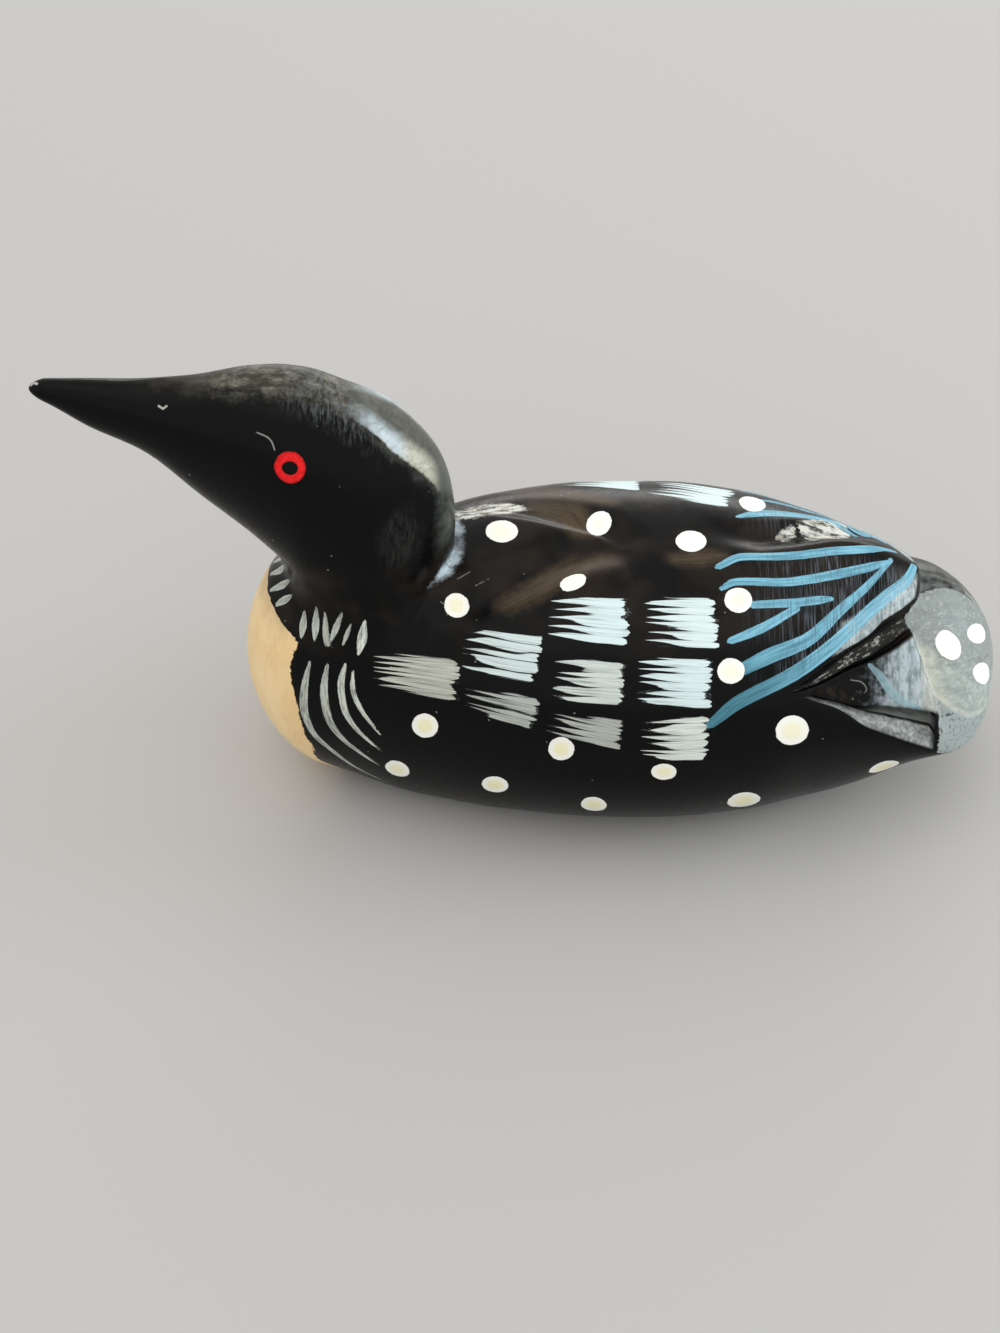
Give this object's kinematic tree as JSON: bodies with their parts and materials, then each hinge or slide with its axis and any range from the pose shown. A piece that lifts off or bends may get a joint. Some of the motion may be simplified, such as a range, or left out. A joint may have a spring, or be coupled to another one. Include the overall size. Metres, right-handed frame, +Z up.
{
  "type": "carved wooden loon figurine",
  "caption": "Small loon carved from one block of wood and painted gloss black with white dots, dabs and stripes, resting on its flat underside.",
  "frame": {"origin": "on the flat underside, at the middle of the bird's length and width", "axes": "+Z up, -X towards the bill, +X towards the tail, -Y the bird's left side"},
  "size_m": [0.113, 0.0414, 0.0593],
  "materials": {
    "painted_wood": "gloss black paint over carved wood, with white and pale blue brush marks"
  },
  "bodies": {
    "root": {"carved_loon": "painted_wood"}
  },
  "joints": []
}
